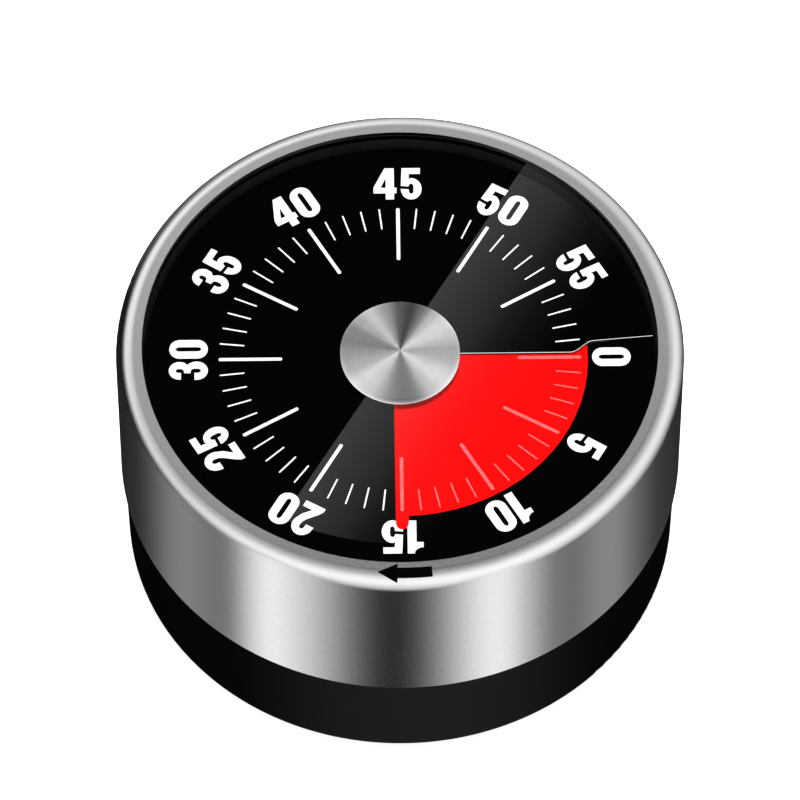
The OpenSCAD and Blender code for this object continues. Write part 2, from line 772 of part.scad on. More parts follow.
module escape_wheel() {
    root_r = escape_r * 0.76;
    hole_r = root_r * 0.26;
    hole_place_r = root_r * 0.58;
    pitch = 360 / escape_teeth;
    // Corners of one tooth, as [radius, share of the pitch]
    corners = [[root_r, 0], [escape_r, 0.55], [escape_r, 0.65], [root_r, 0.8]];
    color("goldenrod") translate(concat(escape_at, escape_z)) linear_extrude(wheel_t) difference() {
        polygon([for (i = [0:escape_teeth - 1], c = corners) polar(c[0], (i + c[1]) * pitch)]);
        circle(r = train_arbor_r);
        for (a = [0:120:240]) rotate(a) translate([hole_place_r, 0]) circle(r = hole_r);
    }
}

module escape_arbor() {
    color("lightgray") translate(escape_at) {
        train_arbor();
        pinion(direction(escape_at, third_at), third_z + wheel_t / 2 - pinion_l / 2);
    }
}

// Lever with two pins beside the escape wheel and a weight behind its arbor
module pallet_lever() {
    pin_r = pallet_pin_d / 2;
    pin_place_r = escape_r + pallet_gap + pin_r;
    weight_r = pallet_weight_d / 2;
    color("silver") {
        difference() {
            union() {
                for (a = [-pallet_spread, pallet_spread]) hull() {
                    translate(concat(pallet_at, pallet_z)) cylinder(r = train_arbor_r * 2, h = wheel_t, $fn = 32);
                    translate(concat(escape_at + polar(pin_place_r, pallet_turn + a), pallet_z))
                        cylinder(r = pin_r * 2, h = wheel_t, $fn = 32);
                }
                translate(pallet_at + polar(weight_r + train_arbor_r, pallet_turn))
                    rod(weight_r, pallet_z, pallet_z + wheel_t);
            }
            translate(pallet_at) rod(train_arbor_r, pallet_z - past, pallet_z + wheel_t + past);
        }
        for (a = [-pallet_spread, pallet_spread]) translate(escape_at + polar(pin_place_r, pallet_turn + a))
            rod(pin_r, escape_z - rest_play * 4, pallet_z + wheel_t / 2);
    }
}

module pallet_arbor() {
    color("lightgray") translate(pallet_at) train_arbor();
}

module hammer() {
    arm_z = bell_low_z + rest_play * 5;
    color("goldenrod") {
        difference() {
            union() {
                translate(hammer_at) rod(lever_boss_r, arm_z, arm_z + plate_t * 2);
                translate(concat(hammer_at, arm_z + plate_t / 2)) rotate(direction(hammer_at, head_at))
                    translate([0, -head_r / 2, 0]) cube([hammer_l, head_r, plate_t]);
            }
            translate(hammer_at) rod(train_arbor_r, arm_z - past, arm_z + plate_t * 2 + past);
        }
        translate(head_at) rod(head_r, arm_z - rest_play, arm_z + plate_t * 2 + rest_play);
    }
}

module hammer_arbor() {
    color("lightgray") translate(hammer_at) rod(train_arbor_r, bell_low_z, cam_z + wheel_t + rest_play);
}

// Follower that reaches from the hammer arbor to the cam
module strike_lever() {
    reach = hammer_ring_r - cam_r - cam_gap;
    color("goldenrod") translate(concat(hammer_at, cam_z)) rotate(hammer_angle + 180) difference() {
        union() {
            cylinder(r = lever_boss_r, h = wheel_t);
            translate([0, -train_arbor_r, 0]) cube([reach - train_arbor_r, train_arbor_d, wheel_t]);
            translate([reach - train_arbor_r, 0, 0]) cylinder(r = train_arbor_r, h = wheel_t);
        }
        translate([0, 0, -past]) cylinder(r = train_arbor_r, h = wheel_t + 2 * past);
    }
}

// Leaf spring beside the strike lever, with its foot screwed to the front plate
module hammer_spring() {
    side = train_arbor_d * 2;
    foot_l = screw_head_d * 1.6;
    color("silver") translate(concat(hammer_at, front_top_z)) rotate(hammer_angle + 180) {
        difference() {
            translate([0, side, 0]) cube([foot_l, screw_head_d, spring_t]);
            translate([screw_head_d, side + screw_head_d / 2, -past]) cylinder(r = screw_d / 2, h = 2 * past);
        }
        translate([foot_l - spring_t, side, 0]) cube([spring_t, screw_head_d, cam_z - front_top_z + wheel_t]);
    }
}

steel_sleeve();
sleeve_liner();
lens_gasket();
lens();
hub_cap();
main_arbor();
arbor_clip();
clutch_collar();
clutch_spring();
strike_cam();
time_disc();
disc_collar();
base_housing();
rear_cover();
rear_cover_screws();
magnets();
foot_ring();
dial_crown();
dial_plate();
back_plate();
front_plate();
pillars();
pillar_screws();
plate_screws();
mainspring();
spring_post();
bell();
bell_post();
bell_screw();
hammer_spring();
great_wheel();
second_wheel();
second_arbor();
third_wheel();
third_arbor();
escape_wheel();
escape_arbor();
pallet_lever();
pallet_arbor();
hammer();
hammer_arbor();
strike_lever();
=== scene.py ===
"""Looks of a round visual countdown timer: finishes, dial print, lens and studio."""
import json
import math

import bpy
from mathutils import Matrix, Vector


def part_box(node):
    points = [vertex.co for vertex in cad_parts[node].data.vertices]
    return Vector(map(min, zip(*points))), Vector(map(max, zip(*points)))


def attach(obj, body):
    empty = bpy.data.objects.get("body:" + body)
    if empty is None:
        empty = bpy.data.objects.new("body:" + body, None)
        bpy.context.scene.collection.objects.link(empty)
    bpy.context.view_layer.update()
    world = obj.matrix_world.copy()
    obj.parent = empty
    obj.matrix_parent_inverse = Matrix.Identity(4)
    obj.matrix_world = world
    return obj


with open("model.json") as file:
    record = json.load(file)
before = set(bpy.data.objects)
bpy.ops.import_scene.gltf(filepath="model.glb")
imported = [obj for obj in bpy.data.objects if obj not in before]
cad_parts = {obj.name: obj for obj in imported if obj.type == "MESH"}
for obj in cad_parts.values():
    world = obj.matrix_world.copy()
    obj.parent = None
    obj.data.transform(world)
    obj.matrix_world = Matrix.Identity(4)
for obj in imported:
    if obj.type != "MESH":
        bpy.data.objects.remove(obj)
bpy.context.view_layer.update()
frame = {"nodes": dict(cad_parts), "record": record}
nodes = frame["nodes"]
MM = 0.001


def high_z(node):
    """Highest height of a node, in millimetres."""
    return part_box(node)[1].z / MM


def outer_r(node):
    """Radius of a round node, in millimetres."""
    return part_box(node)[1].x / MM


# ---------------------------------------------------------------- sizes from the frame
RIM_Z = high_z("steel_sleeve")
SLEEVE_R = outer_r("steel_sleeve")
LENS_TOP_Z = high_z("lens")
HUB_R = outer_r("hub_cap")
DIAL_R = outer_r("dial_plate")

# Other sizes of the part, in millimetres
TURN_RISE = 0.5
RIM_ROUND = 2.1
WINDOW_R = 35.4
HUB_BEVEL = 0.25
HUB_TOP_Z = 42.3
FILM_R = 25.8

DIAL_TOP_Z = high_z("dial_plate") - TURN_RISE
RIM_FLAT_R = SLEEVE_R - RIM_ROUND
# Where the shading of the rim starts to turn, a little inside its rounding
RIM_SOFT_R = 36.5

# Slit of the dial: how far it runs ahead of the zero line
SLIT_OFFSET = 0.45
SLIT_ANGLE = 5
SLIT_BEND_R = 23.4
SLIT_BEND = 3.2

# Dial print
PRINT_T = 0.03
MAJOR_TICK = {"inner": 16.2, "outer": 24.9, "width": 0.49}
MINOR_TICK = {"inner": 21.5, "outer": 24.9, "width": 0.21}
DIGIT_GAP = 0.5
DIGIT_BASE_R = 26.5
SLIT_EDGE_W = 0.07

# Arrow on the rim, drawn on the surface unrolled outwards from the window
ARROW_T = 0.03
ARROW_R = 37.05
ARROW_TIP = -3.5
ARROW_END = 3.9
ARROW_HEAD = {"length": 2.7, "half_width": 1.45}
ARROW_SHAFT_HALF_W = 0.78

# Points closer than this are merged
MERGE = 0.001

# Painted shade: grey of the sleeve's inner faces; finishes: held border of the lens, film and its
# tip
INNER_PAINTED_SHADE = 0.002
LENS_BORDER = {"grey": 0.15, "roughness": 0.6}
FILM_ALPHA = 0.6
TIP_ALPHA = 0.95
TIP_W = 0.2
GRAIN_GAIN = 4.0
WEAR_GAIN = 6.0

# Studio, in metres
DOME_R = {"sleeve": 2.0, "hub": 2.1, "body": 2.2}
FLOOR_R = 1.5
FLOOR_Z = -0.02 * MM
FLOOR_GREY = 0.9
FLOOR_GLOW = 0.9
KEY_LIGHT = {"place": (0, 0.2, 0.95), "aim": (0, 0, 0.02), "size": 0.4, "power": 13.5}


# ---------------------------------------------------------------- camera
AIM = Vector((0, 0, 22 * MM))
CAMERA_DISTANCE = 1100 * MM
CAMERA_ELEVATION = math.radians(56.9)
CAMERA_AZIMUTH = math.radians(-0.7)
CAMERA_PITCH = math.radians(0.226)
CAMERA_LENS = 355.3
TO_CAMERA = Vector((math.sin(CAMERA_AZIMUTH) * math.cos(CAMERA_ELEVATION),
                    -math.cos(CAMERA_AZIMUTH) * math.cos(CAMERA_ELEVATION),
                    math.sin(CAMERA_ELEVATION)))
CAMERA_PLACE = AIM + CAMERA_DISTANCE * TO_CAMERA


def add_camera():
    """The camera in front of the timer and above it, pitched a little past its aim."""
    bpy.ops.object.camera_add(location=CAMERA_PLACE)
    camera = bpy.context.object
    turn = math.pi / 2 - CAMERA_ELEVATION + CAMERA_PITCH
    camera.rotation_euler = (turn, 0, CAMERA_AZIMUTH)
    camera.data.sensor_width = 36
    camera.data.lens = CAMERA_LENS
    bpy.context.scene.camera = camera


# ---------------------------------------------------------------- node helpers
def new_material(name):
    """An empty material and its node tree."""
    material = bpy.data.materials.new(name)
    material.use_nodes = True
    tree = material.node_tree
    tree.nodes.clear()
    return material, tree


def feed(tree, node, inputs):
    """Gives each input of a node its value, or links it to a socket."""
    for key, value in inputs.items():
        if isinstance(value, bpy.types.NodeSocket):
            tree.links.new(value, node.inputs[key])
        else:
            node.inputs[key].default_value = value


def add(tree, kind, **settings):
    """A node with its settings; a setting of a list of inputs is given as inputs={name: value}."""
    node = tree.nodes.new(kind)
    inputs = settings.pop("inputs", {})
    for key, value in settings.items():
        setattr(node, key, value)
    feed(tree, node, inputs)
    return node


def ramp(tree, value, stops, mode="LINEAR"):
    """A colour ramp through grey stops given as (place, grey)."""
    node = add(tree, "ShaderNodeValToRGB", inputs={"Fac": value})
    node.color_ramp.interpolation = mode
    elements = node.color_ramp.elements
    while len(elements) < len(stops):
        elements.new(0.5)
    for element, (place, grey) in zip(elements, stops):
        element.position = place
        element.color = (grey, grey, grey, 1)
    return node.outputs["Color"]


def maths(tree, operation, a, b=0.0, c=0.0, clamp=False):
    """The result of one sum, with values or sockets as its terms."""
    return add(tree, "ShaderNodeMath", operation=operation, use_clamp=clamp,
               inputs={0: a, 1: b, 2: c}).outputs[0]


def product(tree, first, *factors):
    """Several values or sockets multiplied, from the left."""
    for factor in factors:
        first = maths(tree, "MULTIPLY", first, factor)
    return first


def total(tree, first, *terms):
    """Several values or sockets added, from the left."""
    for term in terms:
        first = maths(tree, "ADD", first, term)
    return first


def object_coordinates(tree):
    """The place on a piece, in metres."""
    return add(tree, "ShaderNodeTexCoord").outputs["Object"]


def axes_of(tree, place):
    """The X, Y and Z of a place or direction."""
    return add(tree, "ShaderNodeSeparateXYZ", inputs={0: place}).outputs


def radius_from_axis(tree, place):
    """Distance of a place from the timer's axis."""
    axes = axes_of(tree, place)
    x_squared = product(tree, axes["X"], axes["X"])
    y_squared = product(tree, axes["Y"], axes["Y"])
    return maths(tree, "SQRT", total(tree, x_squared, y_squared))


def map_range(tree, value, low, high, at_low, at_high, mode="SMOOTHSTEP"):
    """A smooth or straight change between two levels while a value goes from low to high."""
    return add(tree, "ShaderNodeMapRange", interpolation_type=mode, inputs={
        "Value": value, "From Min": low, "From Max": high, "To Min": at_low,
        "To Max": at_high}).outputs[0]


def new_group(name, inputs, outputs):
    """A shader node group with its input and output nodes."""
    group = bpy.data.node_groups.new(name, "ShaderNodeTree")
    for label, kind, value in inputs:
        socket = group.interface.new_socket(label, in_out="INPUT", socket_type=kind)
        if value is not None:
            socket.default_value = value
    for label, kind in outputs:
        group.interface.new_socket(label, in_out="OUTPUT", socket_type=kind)
    return group, group.nodes.new("NodeGroupInput"), group.nodes.new("NodeGroupOutput")


def grain_group(name, scale):
    """A new group for a grain, which puts out a level around Middle and a height."""
    return new_group(
        name,
        [("Vector", "NodeSocketVector", None), ("Scale", "NodeSocketFloat", scale),
         ("Middle", "NodeSocketFloat", 0.3), ("Spread", "NodeSocketFloat", 0.05)],
        [("Level", "NodeSocketFloat"), ("Height", "NodeSocketFloat")])


def finish_grain(group, given, result, noise):
    """Puts out noise as the level and the height of a grain."""
    centred = maths(group, "SUBTRACT", noise, 0.5)
    spread = product(group, centred, given.outputs["Spread"])
    level = maths(group, "MULTIPLY_ADD", spread, GRAIN_GAIN, given.outputs["Middle"])
    group.links.new(level, result.inputs["Level"])
    group.links.new(noise, result.inputs["Height"])
    return group


def fine_grain_group():
    """Speckle of a satin or moulded surface."""
    group, given, result = grain_group("fine_grain", 3000.0)
    noise = add(group, "ShaderNodeTexNoise", inputs={
        "Vector": given.outputs["Vector"], "Scale": given.outputs["Scale"],
        "Detail": 2.0, "Roughness": 0.65})
    return finish_grain(group, given, result, noise.outputs["Fac"])


def turned_lines_group():
    """Fine rings left by a lathe: noise that changes with the radius and the height only."""
    group, given, result = grain_group("turned_lines", 6000.0)
    place = given.outputs["Vector"]
    line = add(group, "ShaderNodeCombineXYZ", inputs={
        0: radius_from_axis(group, place), 1: axes_of(group, place)["Z"]})
    noise = add(group, "ShaderNodeTexNoise", noise_dimensions="2D", inputs={
        "Vector": line.outputs[0], "Scale": given.outputs["Scale"], "Detail": 3.0,
        "Roughness": 0.7})
    return finish_grain(group, given, result, noise.outputs["Fac"])


def edge_wear_group():
    """A mask that is bright on convex edges, found by rounding them in shading."""
    group, given, result = new_group(
        "edge_wear",
        [("Radius", "NodeSocketFloat", 0.0002), ("Amount", "NodeSocketFloat", 0.5)],
        [("Mask", "NodeSocketFloat")])
    rounded = add(group, "ShaderNodeBevel", samples=4,
                  inputs={"Radius": given.outputs["Radius"]})
    flat = add(group, "ShaderNodeNewGeometry")
    dot = add(group, "ShaderNodeVectorMath", operation="DOT_PRODUCT",
              inputs={0: rounded.outputs["Normal"], 1: flat.outputs["Normal"]})
    bend = maths(group, "SUBTRACT", 1.0, dot.outputs["Value"])
    strong = maths(group, "MULTIPLY", bend, WEAR_GAIN, clamp=True)
    mask = product(group, strong, given.outputs["Amount"])
    group.links.new(mask, result.inputs["Mask"])
    return group


GROUPS = {"fine_grain": fine_grain_group(), "turned_lines": turned_lines_group(),
          "edge_wear": edge_wear_group()}


def place_group(tree, name, **inputs):
    """One of the shared node groups, with its inputs."""
    return add(tree, "ShaderNodeGroup", node_tree=GROUPS[name], inputs=inputs)


def finish_material(tree, shader):
    """Makes a shader the surface of its material."""
    output = tree.nodes.new("ShaderNodeOutputMaterial")
    tree.links.new(shader, output.inputs["Surface"])


def tinted(tree, colour, level, worn=None, worn_colour=(0.8, 0.8, 0.8)):
    """A colour that a level around 1 lightens and darkens, and that wear covers."""
    base = add(tree, "ShaderNodeVectorMath", operation="SCALE",
               inputs={0: colour, "Scale": level}).outputs["Vector"]
    if worn is None:
        return base
    mix = add(tree, "ShaderNodeMix", data_type="RGBA", inputs={"Factor": worn})
    tree.links.new(base, mix.inputs[6])
    mix.inputs[7].default_value = (*worn_colour, 1)
    return mix.outputs[2]


# ---------------------------------------------------------------- materials
def moulded(name, colour, roughness, specular, grain_scale, bump, wear=0.0):
    """Moulded or painted surface: fine grain in colour, gloss and relief."""
    material, tree = new_material(name)
    place = object_coordinates(tree)
    tone = place_group(tree, "fine_grain", Vector=place, Scale=grain_scale / 4, Middle=1.0,
                       Spread=0.08)
    gloss = place_group(tree, "fine_grain", Vector=place, Scale=grain_scale, Middle=roughness,
                        Spread=0.04)
    relief = add(tree, "ShaderNodeBump", inputs={
        "Strength": bump, "Distance": 0.02 * MM, "Height": gloss.outputs["Height"]})
    worn = None
    if wear:
        worn = place_group(tree, "edge_wear", Radius=0.15 * MM, Amount=wear).outputs["Mask"]
    shader = add(tree, "ShaderNodeBsdfPrincipled", inputs={
        "Base Color": tinted(tree, colour, tone.outputs["Level"], worn, (0.25, 0.25, 0.25)),
        "Roughness": gloss.outputs["Level"],
        "Specular IOR Level": specular,
        "Normal": relief.outputs["Normal"]})
    finish_material(tree, shader.outputs["BSDF"])
    return material


def turned_metal(name, colour, roughness, line_scale, bump, wear=0.25):
    """Turned or stamped metal with lathe rings and bright edges."""
    material, tree = new_material(name)
    place = object_coordinates(tree)
    tone = place_group(tree, "fine_grain", Vector=place, Scale=900.0, Middle=1.0, Spread=0.07)
    lines = place_group(tree, "turned_lines", Vector=place, Scale=line_scale,
                        Middle=roughness, Spread=0.08)
    relief = add(tree, "ShaderNodeBump", inputs={
        "Strength": bump, "Distance": 0.01 * MM, "Height": lines.outputs["Height"]})
    worn = place_group(tree, "edge_wear", Radius=0.12 * MM, Amount=wear).outputs["Mask"]
    light = tuple(min(1.0, c * 1.35) for c in colour)
    shader = add(tree, "ShaderNodeBsdfPrincipled", inputs={
        "Base Color": tinted(tree, colour, tone.outputs["Level"], worn, light),
        "Metallic": 1.0,
        "Roughness": lines.outputs["Level"],
        "Normal": relief.outputs["Normal"]})
    finish_material(tree, shader.outputs["BSDF"])
    return material


def satin_steel():
    """Fine-blasted stainless sheet of the sleeve, its rim rounded without a step."""
    material, tree = new_material("satin_steel")
    place = object_coordinates(tree)
    radius = radius_from_axis(tree, place)
    axes = axes_of(tree, place)
    # The way the outer face looks, turning softly from the flat of the rim to the wall
    out = map_range(tree, radius, RIM_SOFT_R * MM, SLEEVE_R * MM, 0, 1, "LINEAR")
    up = map_range(tree, axes["Z"], (RIM_Z - RIM_ROUND) * MM, RIM_Z * MM, 0, 1, "LINEAR")
    share = maths(tree, "DIVIDE", out, radius)
    way = add(tree, "ShaderNodeCombineXYZ", inputs={
        0: product(tree, axes["X"], share), 1: product(tree, axes["Y"], share), 2: up})
    way = add(tree, "ShaderNodeVectorMath", operation="NORMALIZE",
              inputs={0: way.outputs[0]}).outputs[0]
    # Inner faces keep their own way, and their colour is darkened almost to black as painted shade
    facing = add(tree, "ShaderNodeTexCoord").outputs["Normal"]
    match = add(tree, "ShaderNodeVectorMath", operation="DOT_PRODUCT",
                inputs={0: facing, 1: way}).outputs["Value"]
    outside = maths(tree, "GREATER_THAN", match, 0.7)
    way = add(tree, "ShaderNodeMix", data_type="VECTOR", inputs={
        0: outside, 4: facing, 5: way}).outputs[1]
    smooth = add(tree, "ShaderNodeVectorTransform", vector_type="NORMAL",
                 convert_from="OBJECT", convert_to="WORLD", inputs={0: way}).outputs[0]
    # Grain drawn out a little along the sheet
    drawn = product(tree, maths(tree, "SUBTRACT", axes["Z"], radius), 2.0)
    along = add(tree, "ShaderNodeCombineXYZ", inputs={0: axes["X"], 1: axes["Y"], 2: drawn})
    tone = place_group(tree, "fine_grain", Vector=along.outputs[0], Scale=1300.0, Middle=1.0,
                       Spread=0.03)
    gloss = place_group(tree, "fine_grain", Vector=place, Scale=3400.0, Middle=0.15, Spread=0.03)
    relief = add(tree, "ShaderNodeBump", inputs={
        "Strength": 1.0, "Distance": 0.006 * MM, "Height": tone.outputs["Height"],
        "Normal": smooth})
    # Painted shade: the inner faces' colour darkened almost to black
    shade = maths(tree, "MULTIPLY_ADD", outside, 1 - INNER_PAINTED_SHADE, INNER_PAINTED_SHADE)
    level = product(tree, tone.outputs["Level"], shade)
    shader = add(tree, "ShaderNodeBsdfPrincipled", inputs={
        "Base Color": tinted(tree, (0.8, 0.8, 0.8), level),
        "Metallic": 1.0,
        "Roughness": gloss.outputs["Level"],
        "Normal": relief.outputs["Normal"]})
    finish_material(tree, shader.outputs["BSDF"])
    return material


# Painted shade of the spun rings by their bearing, from the right round over the back, darkening
# fans of the hub's colour
HUB_PAINTED_SHADE = ((0, 0.9), (40, 0.95), (52, 0.74), (61, 0.4), (76, 0.22), (90, 0.5), (102, 0.9),
             (120, 1.0), (138, 0.6), (150, 0.42), (165, 0.5), (180, 0.75), (205, 0.68),
             (222, 1.0), (262, 1.0), (285, 0.65), (302, 0.9), (320, 1.0), (360, 1.0))

# Painted shade on the hub's edge by how far it faces the front, and how far below the top it ends
HUB_EDGE_PAINTED_SHADE = ((0.3, 0.0), (0.6, 0.15), (0.866, 0.25), (0.966, 0.44), (1, 0.58))
HUB_EDGE_FOOT = {"low": 0.85, "high": 0.6}
HUB_EDGE_MARGIN = 0.02


def spun_steel():
    """Spun face of the hub cap: rings that spread the light across them, with painted shade in
    fans by bearing and on the front of its edge.
    """
    material, tree = new_material("spun_steel")
    place = object_coordinates(tree)
    lines = place_group(tree, "turned_lines", Vector=place, Scale=9000.0, Middle=0.42,
                        Spread=0.05)
    tone = place_group(tree, "turned_lines", Vector=place, Scale=5000.0, Middle=1.0,
                       Spread=0.06)
    relief = add(tree, "ShaderNodeBump", inputs={
        "Strength": 0.04, "Distance": 0.01 * MM, "Height": lines.outputs["Height"]})
    around = add(tree, "ShaderNodeTangent", direction_type="RADIAL", axis="Z")
    axes = axes_of(tree, place)
    bearing = maths(tree, "ARCTAN2", axes["Y"], axes["X"])
    turn = maths(tree, "FRACT", maths(tree, "DIVIDE", bearing, 2 * math.pi))
    # Fans of painted shade by bearing, which turn with the hub
    shade = ramp(tree, turn, [(a / 360, v) for a, v in HUB_PAINTED_SHADE], "EASE")
    level = product(tree, tone.outputs["Level"], shade)
    # Edge: painted shade on the front, fading out towards its foot, which stays bright
    radius = radius_from_axis(tree, place)
    front = maths(tree, "DIVIDE", product(tree, axes["Y"], -1.0), radius)
    painted_edge_shade = ramp(tree, front, HUB_EDGE_PAINTED_SHADE)
    on_edge = maths(tree, "GREATER_THAN", radius, (HUB_R - HUB_BEVEL - HUB_EDGE_MARGIN) * MM)
    foot_low = (HUB_TOP_Z - HUB_EDGE_FOOT["low"]) * MM
    foot_high = (HUB_TOP_Z - HUB_EDGE_FOOT["high"]) * MM
    darker = map_range(tree, axes["Z"], foot_low, foot_high, 0, -1)
    painted_edge_shade = product(tree, painted_edge_shade, on_edge, darker)
    level = maths(tree, "MULTIPLY_ADD", level, painted_edge_shade, level)
    shader = add(tree, "ShaderNodeBsdfPrincipled", inputs={
        "Base Color": tinted(tree, (0.86, 0.86, 0.87), level),
        "Metallic": 1.0,
        "Roughness": lines.outputs["Level"],
        "Anisotropic": 1.0,
        "Anisotropic Rotation": 0.25,
        "Tangent": around.outputs["Tangent"],
        "Normal": relief.outputs["Normal"]})
    finish_material(tree, shader.outputs["BSDF"])
    return material


def clear_lens():
    """Clear sheet that mirrors by angle with both its faces, dull black where it is held."""
    material, tree = new_material("clear_lens")
    radius = radius_from_axis(tree, object_coordinates(tree))
    border = maths(tree, "GREATER_THAN", radius, WINDOW_R * MM)
    mirror = add(tree, "ShaderNodeBsdfPrincipled", inputs={
        "Base Color": maths(tree, "MULTIPLY_ADD", border, LENS_BORDER["grey"] - 1, 1.0),
        "Metallic": maths(tree, "SUBTRACT", 1.0, border),
        "Roughness": product(tree, border, LENS_BORDER["roughness"])})
    clear = add(tree, "ShaderNodeBsdfTransparent")
    one_face = add(tree, "ShaderNodeFresnel", inputs={"IOR": 1.5}).outputs["Fac"]
    both_faces = maths(tree, "DIVIDE", product(tree, one_face, 2.0), total(tree, one_face, 1.0))
    inside = add(tree, "ShaderNodeNewGeometry").outputs["Backfacing"]
    share = product(tree, both_faces, maths(tree, "SUBTRACT", 1.0, inside))
    mix = add(tree, "ShaderNodeMixShader", inputs={
        0: maths(tree, "MAXIMUM", share, border), 1: clear.outputs["BSDF"],
        2: mirror.outputs["BSDF"]})
    finish_material(tree, mix.outputs["Shader"])
    return material


def gloss_black():
    """Glossy black sheet of the dial, whose slow rise does not bend what it mirrors."""
    material, tree = new_material("dial_black")
    place = object_coordinates(tree)
    tone = place_group(tree, "fine_grain", Vector=place, Scale=750.0, Middle=1.0, Spread=0.08)
    level_up = add(tree, "ShaderNodeCombineXYZ", inputs={2: 1.0})
    shader = add(tree, "ShaderNodeBsdfPrincipled", inputs={
        "Base Color": tinted(tree, (0.001, 0.001, 0.001), tone.outputs["Level"]),
        "Roughness": 0.0,
        "Normal": level_up.outputs[0]})
    finish_material(tree, shader.outputs["BSDF"])
    return material


def red_film():
    """Bright red film that the print below shows through, more opaque at its tip."""
    material, tree = new_material("red_film")
    place = object_coordinates(tree)
    tone = place_group(tree, "fine_grain", Vector=place, Scale=700.0, Middle=1.0, Spread=0.02)
    tip = maths(tree, "GREATER_THAN", radius_from_axis(tree, place), (FILM_R - TIP_W) * MM)
    shader = add(tree, "ShaderNodeBsdfPrincipled", inputs={
        "Base Color": tinted(tree, (0.95, 0.004, 0.004), tone.outputs["Level"]),
        "Roughness": 0.5,
        "Specular IOR Level": 0.05,
        "Alpha": maths(tree, "MULTIPLY_ADD", tip, TIP_ALPHA - FILM_ALPHA, FILM_ALPHA)})
    finish_material(tree, shader.outputs["BSDF"])
    return material


MATERIALS = {
    "sleeve_steel": satin_steel(),
    "spun_steel": spun_steel(),
    "lens_clear": clear_lens(),
    "red_film": red_film(),
    "base_plastic": moulded("base_plastic", (0.001, 0.001, 0.001), 0.38, 0.5, 2400.0, 0.1),
    "liner_plastic": moulded("liner_plastic", (0.045, 0.045, 0.045), 0.6, 0.1, 2400.0, 0.05),
    "dial_black": gloss_black(),
    "black_rubber": moulded("black_rubber", (0.01, 0.01, 0.01), 0.8, 0.3, 1500.0, 0.3),
    "ferrite": moulded("ferrite", (0.03, 0.03, 0.032), 0.6, 0.5, 1200.0, 0.2, wear=0.2),
    "print_white": moulded("print_white", (0.92, 0.92, 0.92), 0.6, 0.1, 3000.0, 0.02),
    "print_black": moulded("print_black", (0.001, 0.001, 0.001), 0.5, 0.05, 3000.0, 0.02),
    "movement_brass": turned_metal("movement_brass", (0.75, 0.55, 0.22), 0.3, 5000.0, 0.05),
    "plain_steel": turned_metal("plain_steel", (0.55, 0.55, 0.56), 0.3, 5000.0, 0.05),
    "spring_steel": turned_metal("spring_steel", (0.3, 0.32, 0.36), 0.35, 4000.0, 0.05),
}


def dress_nodes():
    """Gives every CAD node the material of its slot."""
    for part in frame["record"]["subparts"]:
        mesh = nodes[part["node"]].data
        mesh.materials.clear()
        mesh.materials.append(MATERIALS[part["material_slot"]])


# ---------------------------------------------------------------- spiral of the dial
def slit_lead(r):
    """Minutes by which the slit runs ahead of the zero line at a radius."""
    inner = math.degrees(math.asin(SLIT_OFFSET / r)) / 6
    outer = SLIT_ANGLE / 6
    t = min(1.0, max(0.0, (r - SLIT_BEND_R) / SLIT_BEND))
    return inner + (outer - inner) * t * t * (3 - 2 * t)


def dial_height(x, y):
    """Height of the dial's face at a place, in millimetres."""
    r = math.hypot(x, y)
    minute = -math.degrees(math.atan2(y, x)) / 6 % 60
    if minute > 60 - slit_lead(r):
        minute -= 60
    return DIAL_TOP_Z + TURN_RISE * minute / 60


def lay_on_dial(piece):
    """Lowers or lifts a flat print, drawn at z = 0 in millimetres, onto the dial."""
    for vertex in piece.data.vertices:
        x, y, z = vertex.co
        vertex.co = Vector((x, y, z + dial_height(x, y))) * MM
    piece.data.update()


def deselect():
    """Deselects everything."""
    bpy.ops.object.select_all(action="DESELECT")


def select_only(*pieces):
    """Selects these pieces alone and makes the first one active."""
    deselect()
    for piece in pieces:
        piece.select_set(True)
    bpy.context.view_layer.objects.active = pieces[0]


def join(pieces, name):
    """Joins pieces into the first of them."""
    select_only(*pieces)
    bpy.ops.object.join()
    pieces[0].name = name
    pieces[0].data.name = name
    return pieces[0]


def show(piece, body, slot):
    """Finishes a new piece: gives it the material of a slot and parents it to the empty of its
    body.
    """
    piece.data.materials.clear()
    piece.data.materials.append(MATERIALS[slot])
    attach(piece, body)


# ---------------------------------------------------------------- minute marks
def tick(size):
    """One raised minute mark on +X, with rounded ends, in millimetres."""
    deselect()
    bpy.ops.mesh.primitive_plane_add(size=1)
    bpy.ops.object.mode_set(mode="EDIT")
    bpy.ops.transform.resize(value=(size["outer"] - size["inner"], size["width"], 1))
    bpy.ops.transform.translate(value=((size["outer"] + size["inner"]) / 2, 0, 0))
    bpy.ops.mesh.bevel(affect="VERTICES", offset=size["width"] * 0.4, segments=3)
    bpy.ops.mesh.extrude_region_move(TRANSFORM_OT_translate={"value": (0, 0, PRINT_T)})
    bpy.ops.mesh.select_all(action="SELECT")
    bpy.ops.mesh.normals_make_consistent(inside=False)
    bpy.ops.object.mode_set(mode="OBJECT")
    return bpy.context.object


def minute_marks():
    """A long mark every five minutes and a short one at each minute between."""
    marks = []
    for size, minutes in ((MAJOR_TICK, range(0, 60, 5)),
                          (MINOR_TICK, [m for m in range(60) if m % 5])):
        pattern = tick(size)
        for minute in minutes:
            mark = pattern.copy()
            mark.data = pattern.data.copy()
            mark.data.transform(Matrix.Rotation(math.radians(-6 * minute), 4, "Z"))
            bpy.context.collection.objects.link(mark)
            marks.append(mark)
        bpy.data.objects.remove(pattern)
    marks = join(marks, "minute_marks")
    lay_on_dial(marks)
    show(marks, "base", "print_white")


# ---------------------------------------------------------------- numerals
def arc(cx, cy, rx, ry, start, end, steps=12):
    """Points along an ellipse's arc, from one angle to another, in degrees."""
    turns = [math.radians(start + (end - start) * i / steps) for i in range(steps + 1)]
    return [(cx + rx * math.cos(a), cy + ry * math.sin(a)) for a in turns]


